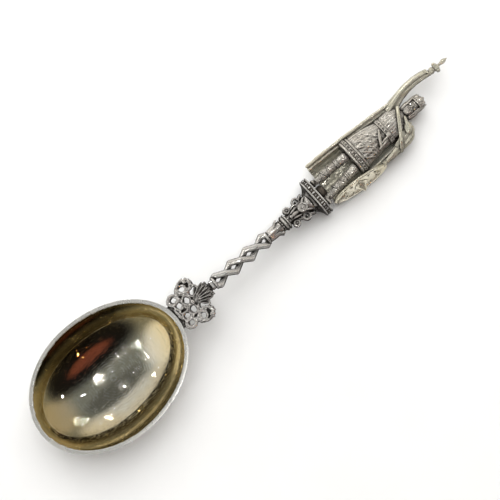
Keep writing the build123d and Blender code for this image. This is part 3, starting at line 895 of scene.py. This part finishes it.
right_leg = leg(
    "right_legging",
    [(-4.0, 0.2, 0.8, 1.2, 1.4), (-3.9, 0.3, 2.2, 1.1, 1.25), (-3.95, 0.45, 4.5, 1.4, 1.55),
     (-4.0, 0.6, 7.2, 1.75, 1.9), (-4.0, 0.4, 9.6, 1.6, 1.75), (-3.9, 0.0, 12.2, 1.5, 1.65),
     (-3.8, 0.0, 14.5, 1.8, 1.9), (-3.6, 0.0, 17.5, 2.0, 2.1)],
    (-0.15, -1.5), -6,
)
hand_over(right_leg, "figure", ["right_leg"], "oxidised_silver", cast_silver)
left_leg = leg(
    "left_legging",
    [(3.2, 0.2, 0.8, 1.2, 1.4), (3.1, 0.3, 2.2, 1.1, 1.25), (2.8, 0.45, 4.5, 1.4, 1.55),
     (2.4, 0.6, 7.2, 1.75, 1.9), (2.2, 0.3, 9.6, 1.65, 1.75), (1.9, 0.0, 12.2, 1.55, 1.65),
     (1.6, 0.0, 14.5, 1.85, 1.9), (1.4, 0.0, 17.5, 2.0, 2.1)],
    (0.75, -1.1), 38,
)
hand_over(left_leg, "figure", ["left_leg"], "oxidised_silver", cast_silver)

# %% Ground between the feet
mound = draw_out(
    "rough_ground",
    [(-0.4, 2.6, 0.0, 2.5, 2.2), (-0.4, 2.6, 1.4, 2.35, 2.1), (-0.5, 2.7, 2.4, 2.1, 1.9),
     (-0.5, 2.8, 2.9, 1.5, 1.4)],
    16,
)
round_off(mound, 2)
press(mound, ripple, 0.5)
# the ground's black finish is painted shade, standing for the shade in the hollow between the feet
hand_over(mound, "figure", ["ground_mound"], "oxidised_silver", black_silver)

# %% Tunic
skirt = draw_folds(
    "skirt",
    [(-1.9, 0.1, 16.8, 6.6, 4.2), (-1.9, 0.1, 20, 6.3, 4.1), (-1.9, 0.1, 24, 5.85, 3.9),
     (-1.7, 0.1, 28, 5.2, 3.5), (-1.2, 0.1, 31.4, 4.6, 3.0)],
    36, 0.93,
)
chest = draw_folds(
    "chest",
    [(-1.2, 0.1, 31.0, 4.7, 3.0), (-1.3, 0.0, 34, 4.9, 3.2), (-1.4, 0.0, 37, 4.9, 3.2),
     (-1.3, 0.1, 39.4, 4.4, 2.6), (-1.2, 0.3, 41.2, 2.0, 1.8)],
    56, 0.95,
)
parts = [skirt, chest]
FOLDS = (
    ((-1.5, 28.4), (-3.8, 26.4), (-5.6, 23.4)),
    ((2.2, 26.6), (-1.1, 26.0), (-3.5, 23.7), (-4.9, 20.6)),
    ((2.8, 25.4), (0.3, 24.8), (-1.6, 22.8), (-2.9, 20.3)),
    ((3.0, 24.4), (1.3, 23.4), (-0.4, 21.0)),
    ((3.4, 23.4), (2.6, 22.2), (1.8, 20.6)),
)
for fold in FOLDS:
    spots = []
    for x, z in fold:
        wide, deep = 6.55 - 0.13 * (z - 17), 4.15 - 0.075 * (z - 17)
        spots.append((x, 0.1 - deep * (1 - ((x + 1.8) / wide) ** 2) ** 0.5, z))
    parts += string(spots, (0.42, 0.4, 0.42), 10)
sash = balls((0, -3.5, 28.5, 3.5, 0.75, 0.62, (0, 32, 0)), (2.3, -3.2, 28.2, 0.55, 0.6, 2.4, (0, -8, 0)))
tunic = cast("tunic_cloth", parts + sash, 0.14, 2)
press(tunic, ripple, 0.2)
hand_over(tunic, "figure", ["tunic"], "oxidised_silver", cast_silver)


# %% Hem and belt
def around(x, y, wide, deep, count, start=0.0):
    """Places round an oval, each with the direction it faces in degrees."""
    for index in range(count):
        turn = 2 * pi * (index + start) / count
        yield x + wide * cos(turn), y + deep * sin(turn), turn * 180 / pi


hem = upright(
    "hem", -1.9, 0.1,
    ((16.5, 6.4, 4.1), (16.7, 7.0, 4.6), (17.2, 7.0, 4.6), (17.35, 6.75, 4.4), (19.2, 6.6, 4.3),
     (19.35, 6.85, 4.5), (19.8, 6.85, 4.5), (20.0, 6.2, 4.0)),
    48,
)
parts = [hem]
for x, y, facing in around(-1.9, 0.1, 6.75, 4.42, 26):
    parts.append(ball(x, y, 18.25, 0.3, 0.42, 0.62, (0, 0, facing), 8))
for x, y, facing in around(-1.9, 0.1, 6.78, 4.45, 26, 0.5):
    for height in (18.7, 17.8):
        parts.append(ball(x, y, height, 0.22, 0.22, 0.22, (0, 0, facing), 8))
hem = cast("hem_border", parts, 0.14, 0)
hand_over(hem, "figure", ["hem_band"], "oxidised_silver", cast_silver)

belt = upright(
    "belt", -1.2, 0.1,
    ((30.9, 4.7, 3.0), (31.05, 5.1, 3.4), (31.35, 5.15, 3.45), (31.45, 4.95, 3.25), (32.1, 4.95, 3.25),
     (32.2, 5.15, 3.45), (32.5, 5.1, 3.4), (32.65, 4.7, 3.0)),
    48,
)
parts = [belt]
for x, y, facing in around(-1.2, 0.1, 5.05, 3.35, 24):
    parts.append(ball(x, y, 31.78, 0.2, 0.32, 0.3, (0, 0, facing), 8))
parts += balls((0.9, -3.45, 31.75, 0.95, 0.4, 0.85), (1.4, -3.5, 29.6, 0.45, 0.4, 2.2, (0, -6, 0)))
belt = cast("studded_belt", parts, 0.13, 0)
hand_over(belt, "figure", ["belt"], "oxidised_silver", cast_silver)

# %% Mantle and its border
mantle = draw_folds(
    "mantle_cloth",
    [(6.0, 0.4, 31.2, 1.7, 2.0), (5.8, 0.3, 33.4, 2.3, 2.4), (5.2, 0.3, 36, 2.9, 2.6),
     (4.5, 0.3, 38.2, 3.0, 2.4), (2.8, 0.5, 40.6, 2.2, 1.7)],
    16, 0.78,
)
shoulder = balls((3.4, -2.1, 38.6, 2.4, 0.8, 1.3, (0, 30, 0)), (1.2, -2.6, 39.6, 2.0, 0.6, 0.6, (0, 25, 0)))
mantle = cast("mantle_cloth", [mantle, *shoulder], 0.16, 2)
hand_over(mantle, "figure", ["mantle"], "warm_silver", warm_silver)

BORDER = (
    (-4.4, -1.9, 40.6), (-2.2, -3.1, 39.0), (0.4, -3.6, 37.2), (3.0, -3.55, 35.4), (5.4, -2.9, 33.7),
    (7.2, -1.7, 32.4), (8.0, -0.2, 31.7),
)
border = cast("mantle_edge", string(BORDER, (0.6, 0.5, 0.75), 6), 0.13)
hand_over(border, "figure", ["mantle_border"], "warm_silver", warm_silver)

# %% [markdown]
# ## Head, hair and crown
# The head is built from balls that melt together. The face is a calm general one: the eyes lie half way
# up the head, and the nose ends half way from the eyes to the chin. Hair and beard are locks laid side by
# side.

# %% Head
HEAD_X = -1.15
EYE_Z, CHIN_Z = 45.5, 42.9
nose_z = (EYE_Z + CHIN_Z) / 2
parts = [
    ball(HEAD_X, 0.1, 45.5, 2.05, 2.25, 2.7, segments=24),
    draw_out("neck", [(HEAD_X, 0.4, 40.8, 1.6, 1.5), (HEAD_X, 0.3, 43.5, 1.3, 1.3)], 16),
]
parts += balls(
    (HEAD_X, -0.5, 44.0, 1.6, 1.7, 1.5),
    (HEAD_X, -1.85, EYE_Z + 0.55, 1.5, 0.5, 0.3),
    (HEAD_X, -2.2, (EYE_Z + nose_z) / 2, 0.26, 0.45, 0.75, (-8, 0, 0)),
    (HEAD_X, -2.35, nose_z + 0.12, 0.42, 0.42, 0.26),
    (HEAD_X, -2.1, nose_z - 0.62, 0.42, 0.28, 0.16),
)
parts += pairs(
    HEAD_X, (0.78, -1.86, EYE_Z, 0.36, 0.3, 0.22), (1.0, -1.5, EYE_Z - 0.85, 0.6, 0.6, 0.6),
    (0.55, -2.15, nose_z - 0.3, 0.62, 0.28, 0.2, 0, 22, 0),
)
for index in range(-4, 5):
    x, y, z = HEAD_X + 0.42 * index, -2.0 + 0.07 * index * index, 42.4 + 0.1 * abs(index)
    parts.append(ball(x, y, z, 0.28, 0.4, 1.75 - 0.13 * abs(index), (6, 0, 0), 10))
for index in range(-2, 3):
    x, y = HEAD_X + 0.45 * index, -2.35 + 0.1 * abs(index)
    parts.append(ball(x, y, 42.3, 0.26, 0.34, 1.35, (4, index * 4, 0), 10))
for index in range(22):
    turn = radians(-38 + 256 * index / 21)
    x, y = HEAD_X + 2.5 * cos(turn), 0.3 + 2.4 * sin(turn)
    outward = 5 * cos(turn)
    parts.append(ball(x, y, 44.4, 0.4, 0.42, 3.9, (0, outward, 0), 10))
    if index % 2:
        parts.append(ball(x + 0.25 * cos(turn), y, 42.7, 0.42, 0.4, 2.0, (0, outward * 1.3, 0), 10))
head = cast("head_and_hair", parts, 0.11)
hand_over(head, "figure", ["head"], "oxidised_silver", cast_silver)

# %% Crown
crown = upright(
    "crown_band", HEAD_X, 0.2,
    ((46.6, 2.3), (46.65, 2.75), (47.0, 2.75), (47.1, 2.6), (47.7, 2.6), (47.8, 2.7), (48.05, 2.6),
     (48.6, 2.2), (49.2, 1.6), (49.7, 0.8)),
    32,
)
parts = [crown, ball(HEAD_X, 0.2, 49.8, 0.45, 0.45, 0.45)]
for x, y, facing in around(HEAD_X, 0.2, 2.45, 2.45, 8):
    tall = 1.3 if abs(facing - 270) < 1 else 0.85
    parts.append(ball(x, y, 48.2, 0.34, 0.8, tall, (0, -14, facing), 10))
    parts.append(ball(x, y, 48.1 + tall, 0.3, 0.3, 0.3, (0, 0, 0), 8))
for x, y, facing in around(HEAD_X, 0.2, 2.65, 2.65, 16):
    parts.append(ball(x, y, 47.4, 0.2, 0.26, 0.26, (0, 0, facing), 8))
crown = cast("crown_with_points", parts, 0.11, 0)
hand_over(crown, "figure", ["crown"], "oxidised_silver", cast_silver)

# %% [markdown]
# ## Sword arm and shield arm
# The raised arm is a long sleeve with a slanted cuff, and a fist that closes round a sword grip. The
# other sleeve ends in a hand whose fingers hang over the top of the shield.

# %% Raised arm
SWORD_X = -6.2
sleeve = draw_folds(
    "sleeve",
    [(-5.2, 0.4, 37.0, 2.4, 2.0), (-6.2, 0.3, 40.5, 2.25, 1.95), (-7.3, 0.2, 44.5, 2.0, 1.85),
     (-7.8, 0.1, 48.0, 1.85, 1.75), (-7.75, 0.0, 51.5, 1.75, 1.65), (-7.35, -0.1, 54.5, 1.65, 1.6),
     (-6.8, -0.1, 57.2, 1.5, 1.5)],
    18, 0.76,
)
parts = [sleeve, ring(-6.85, -0.1, 56.7, 1.45, 1.4, 0.32, (0, -22, 0))]
parts.append(draw_out("wrist", [(-6.9, -0.1, 54.5, 1.05, 1.0), (-6.3, -0.1, 58.4, 1.0, 1.0)], 16))
parts.append(ball(SWORD_X, -0.1, 58.4, 1.15, 1.15, 1.15))
for finger in range(4):
    parts.append(ball(SWORD_X + 0.1, -1.05, 57.6 + 0.46 * finger, 0.95, 0.34, 0.26, segments=10))
parts.append(ball(SWORD_X - 0.95, -0.5, 58.5, 0.4, 0.4, 0.8))
raised = cast("raised_sleeve", parts, 0.13)
hand_over(raised, "figure", ["right_arm"], "warm_silver", warm_silver)

# %% Sword
parts = [
    upright("grip", SWORD_X, -0.1, ((56.6, 0.4), (59.8, 0.42)), 12),
    upright(
        "guard", SWORD_X, -0.1,
        ((59.3, 0.9, 0.6), (59.7, 1.3, 0.7), (60.0, 1.75, 0.75), (61.0, 1.75, 0.75), (61.4, 0.8, 0.5)),
        16,
    ),
    upright(
        "blade", SWORD_X, -0.1,
        ((61.2, 0.55, 0.4), (62.4, 0.55, 0.4), (63.5, 0.9, 0.5), (64.4, 0.65, 0.4), (65.2, 0.2),
         (65.55, 0.12)),
        8,
    ),
    *pairs(SWORD_X, (1.5, -0.1, 60.4, 0.5, 0.8, 0.7)),
]
sword = cast("sword_stub", parts, 0.1)
hand_over(sword, "figure", ["sword"], "warm_silver", warm_silver)

# %% Shield arm
sleeve = draw_folds(
    "shield_sleeve",
    [(7.3, -0.4, 25.3, 0.85, 0.9), (7.1, -0.2, 27.0, 1.1, 1.2), (6.9, 0.0, 29.5, 1.4, 1.5),
     (6.5, 0.3, 32.0, 1.7, 1.8), (5.9, 0.4, 35.0, 1.9, 2.0)],
    16, 0.86,
)
parts = [sleeve, ball(7.3, -0.7, 24.5, 0.95, 0.9, 0.75)]
for finger in range(4):
    parts.append(ball(6.75 + 0.42 * finger, -1.3 + 0.1 * finger, 24.0, 0.22, 0.35, 0.75, (18, 0, 0), 10))
arm = cast("shield_sleeve", parts, 0.13)
hand_over(arm, "figure", ["left_arm"], "warm_silver", warm_silver)

# %% [markdown]
# ## Shield and cloak
# The shield is a thin dished blade with a wire rim, rivets and a pointed boss. The cloak is one sheet: a
# folded ring drawn up from hem to shoulder, opened at the front, and only then given its thickness.

# %% Shield
SHIELD_LEAN, SHIELD_TURN = radians(5.5), radians(72)
shield_place = (
    Matrix.Translation((7.0, 0.4, 13.4))
    @ Matrix.Rotation(SHIELD_LEAN, 4, "Y")
    @ Matrix.Rotation(SHIELD_TURN, 4, "Z")
)
blade = draw_out(
    "shield_blade",
    [(0, 0.2, -10.2, 0.4, 0.25), (0, 0.15, -9.0, 1.6, 0.3), (0, 0.1, -7.0, 2.9, 0.35),
     (0, 0.05, -4.0, 3.9, 0.45), (0, 0, 0, 4.25, 0.5), (0, 0.05, 4.0, 4.0, 0.45),
     (0, 0.1, 7.0, 3.2, 0.35), (0, 0.15, 9.0, 1.9, 0.3), (0, 0.2, 10.0, 0.7, 0.25)],
    24,
)
round_off(blade, 2)
shield = cast("shield_with_rim", [blade, ring(0, 0, 0, 4.2, 10.0, 0.6, (90, 0, 0), 64)], 0.15)
settle(shield, shield_place)
hand_over(shield, "figure", ["shield"], "warm_silver", shield_silver)

# %% Boss and rivets
boss = upright(
    "shield_point", 0, 0,
    ((0.0, 2.6), (0.6, 2.7), (0.85, 2.4), (0.95, 1.9), (1.7, 1.35), (2.9, 0.5), (3.3, 0.15)),
    28,
)
settle(boss, Matrix.Rotation(pi / 2, 4, "X"))
round_off(boss, 1)
settle(boss, shield_place)
hand_over(boss, "figure", ["shield_boss"], "warm_silver", shield_silver)
studs = [ball(x, -0.5, z, 0.42, 0.42, 0.42, segments=10) for x, z, _ in around(0, 0, 3.0, 7.4, 12)]
rivets = join("shield_rivet_row", studs)
settle(rivets, shield_place)
hand_over(rivets, "figure", ["shield_rivets"], "warm_silver", shield_silver)

# %% Cloak
CLOAK_RINGS = (
    (-1.5, 0.2, 2.9, 8.7, 5.3), (-1.6, 0.2, 7, 8.6, 5.3), (-1.6, 0.2, 12, 8.3, 5.2),
    (-1.5, 0.2, 17, 8.1, 5.1), (-1.3, 0.2, 22, 7.8, 5.0), (-1.1, 0.2, 27, 7.4, 4.8),
    (-1.0, 0.2, 32, 7.0, 4.5), (-0.9, 0.3, 36, 6.4, 4.0), (-0.9, 0.4, 39, 5.2, 3.3),
    (-0.9, 0.5, 41, 3.6, 2.5),
)
cloak = draw_folds("cloak_cloth", CLOAK_RINGS, 56, 0.88)
open_mesh(cloak)
bpy.ops.mesh.select_mode(type="FACE")
bpy.ops.mesh.select_all(action="DESELECT")
cage = bmesh.from_edit_mesh(cloak.data)
for face in cage.faces:
    spot = face.calc_center_median()
    open_front = spot.y < (0.3 if spot.x < 0 else -0.2)
    face.select_set(open_front or abs(face.normal.z) > 0.9)
bmesh.update_edit_mesh(cloak.data)
bpy.ops.mesh.delete(type="FACE")
bpy.ops.object.mode_set(mode="OBJECT")
round_off(cloak, 1)
add_modifier(cloak, "SOLIDIFY", thickness=0.75, offset=0)
edge = [(-7.6, 0.0, 38.5), (-8.5, -0.1, 30), (-9.3, -0.2, 20), (-9.9, -0.2, 10), (-10.1, -0.1, 3.4)]
second = [(x + 1.25, y + 0.9, z) for x, y, z in edge]
parts = [cloak, *string(edge, (0.7, 0.6, 0.9), 12), *string(second, (0.6, 0.6, 0.9), 12)]
cloak = cast("cloak_cloth", parts, 0.2, 2)
press(cloak, coarse, 0.5)
hand_over(cloak, "figure", ["cloak"], "warm_silver", cloak_silver)

# %% [markdown]
# ## Floor, light and camera
# A pale floor and even light suit polished metal, which shows whatever surrounds it. One large soft lamp
# lights the scene but is hidden from reflections. The surroundings have soft patches, pale on one side
# and dark on the other, so that the bowl has something to mirror, and small lamps show as sparks.

# %% Floor
deselect()
bpy.ops.mesh.primitive_circle_add(vertices=96, radius=3.0, fill_type="NGON")
floor = bpy.context.object
floor.name = "floor"
paper, tree, shader = new_finish("Pale floor")
where = node(tree, "TexCoord")
mottle = node(tree, "TexNoise", {"Vector": where.outputs["Object"], "Scale": 40.0, "Detail": 6.0})
share = rescale(tree, mottle.outputs[0], 0.3, 0.7)
tone = blend_colours(tree, share, (0.90, 0.90, 0.90, 1), (0.93, 0.93, 0.925, 1))
feed(tree, shader, {"Base Color": tone, "Roughness": 0.85, "Specular IOR Level": 0.2})
floor.data.materials.append(paper)
print("floor radius 3 m")

# %% Surroundings
world = bpy.data.worlds.new("Studio")
bpy.context.scene.world = world
world.use_nodes = True
tree = world.node_tree
ground = tree.nodes["Background"]
sky = node(tree, "TexCoord")


def patch_of_sky(direction, inner, outer, squeeze=1.0):
    """A soft patch of the surroundings, 1 inside and 0 outside, by the cosine from its middle."""
    towards = tuple(Vector(direction).normalized())
    stretch = {0: sky.outputs["Generated"], 1: (1, squeeze, 1)}
    squeezed = node(tree, "VectorMath", stretch, operation="MULTIPLY")
    unit = node(tree, "VectorMath", {0: squeezed.outputs[0]}, operation="NORMALIZE")
    facing = node(tree, "VectorMath", {0: unit.outputs[0], 1: towards}, operation="DOT_PRODUCT")
    levels = {0: facing.outputs["Value"], 1: outer, 2: inner}
    return node(tree, "MapRange", levels, interpolation_type="SMOOTHSTEP").outputs[0]


PATCHES = (
    ((-0.88, 0.0, 0.47), 0.975, 0.87, 0.45, (0.62, 0.60, 0.55)),
    ((-0.25, -0.9, 0.30), 0.95, 0.80, 1.0, (0.80, 0.79, 0.76)),
    ((0.0, 0.9, 0.35), 0.95, 0.80, 1.0, (0.36, 0.33, 0.27)),
    ((0.80, 0.0, 0.60), 0.90, 0.70, 0.6, (0.010, 0.009, 0.008)),
    ((-0.42, 0.0, 0.90), 0.985, 0.93, 0.5, (0.11, 0.11, 0.10)),
    ((0.72, -0.02, 0.69), 0.995, 0.978, 0.4, (0.17, 0.05, 0.028)),
    ((0.0, 0.0, -1.0), 0.30, -0.17, 1.0, (0.90, 0.90, 0.90)),
)
tone = (0.20, 0.205, 0.185, 1)
for direction, inner, outer, squeeze, colour in PATCHES:
    tone = blend_colours(tree, patch_of_sky(direction, inner, outer, squeeze), tone, (*colour, 1))
feed(tree, ground, {"Color": tone, "Strength": 1.0})
print("surroundings ready")

# %% Lamps
def lamp(name, place, size, power, colour=(1, 1, 1)):
    """A round soft lamp that points at the spoon."""
    deselect()
    bpy.ops.object.light_add(type="AREA", location=place)
    light = bpy.context.object
    light.name = name
    light.data.shape = "DISK"
    light.data.size = size
    light.data.energy = power
    light.data.color = colour
    light.rotation_euler = (Vector(place) - middle).to_track_quat("Z", "Y").to_euler()
    return light


LAMPS = (
    ("key", (0.22, -0.04, 1.10), 0.022, 0.65),
    ("tip_soft", (0.15, -1.00, 1.00), 0.022, 0.70),
    ("tip_left", (-0.45, -1.00, 1.00), 0.016, 0.35),
    ("far_right", (0.65, 0.95, 1.00), 0.016, 0.55),
    ("far_left", (-0.55, 1.10, 0.95), 0.016, 0.65),
    ("window", (-1.05, 0.25, 0.75), 0.020, 0.60),
    ("dot_high", (0.10, 0.45, 1.20), 0.010, 0.07),
    ("dot_low", (0.30, -0.55, 1.15), 0.010, 0.07),
    ("dot_left", (-0.55, -0.30, 1.05), 0.010, 0.08),
    ("dot_back", (-0.75, 0.70, 0.85), 0.010, 0.10),
    ("dot_front", (-0.90, -0.75, 0.60), 0.010, 0.08),
)
for name, place, size, power in LAMPS:
    lamp(name, place, size, power)
soft = lamp("soft", (-0.45, 0.4, 1.1), 1.6, 19.0)
soft.visible_glossy = False
lamp("amber", (1.05, -0.09, 0.55), 0.02, 0.16, (1.0, 0.42, 0.12))

# %% Camera
LEAN = radians(6)
DISTANCE = 0.45
AIM = (-0.95, 0.62)
SPOON_ANGLE = radians(41.3)
away = Vector((sin(LEAN), 0, cos(LEAN)))
along_image_up = Vector((-cos(SPOON_ANGLE), sin(SPOON_ANGLE), 0))
deselect()
bpy.ops.object.camera_add(location=middle + away * DISTANCE)
camera = bpy.context.object
side = along_image_up.cross(away).normalized()
upward = away.cross(side)
camera.location += (side * AIM[0] + upward * AIM[1]) * MM
facing = Matrix((side, upward, away)).transposed().to_4x4()
camera.matrix_world = Matrix.Translation(camera.location) @ facing
camera.data.sensor_width = 36
camera.data.lens = 92.5
camera.data.clip_start = 0.01
bpy.context.scene.camera = camera
bpy.context.scene.view_settings.view_transform = "Standard"
print("camera", [round(v, 3) for v in camera.location])

# %% Update the scene
bpy.context.view_layer.update()
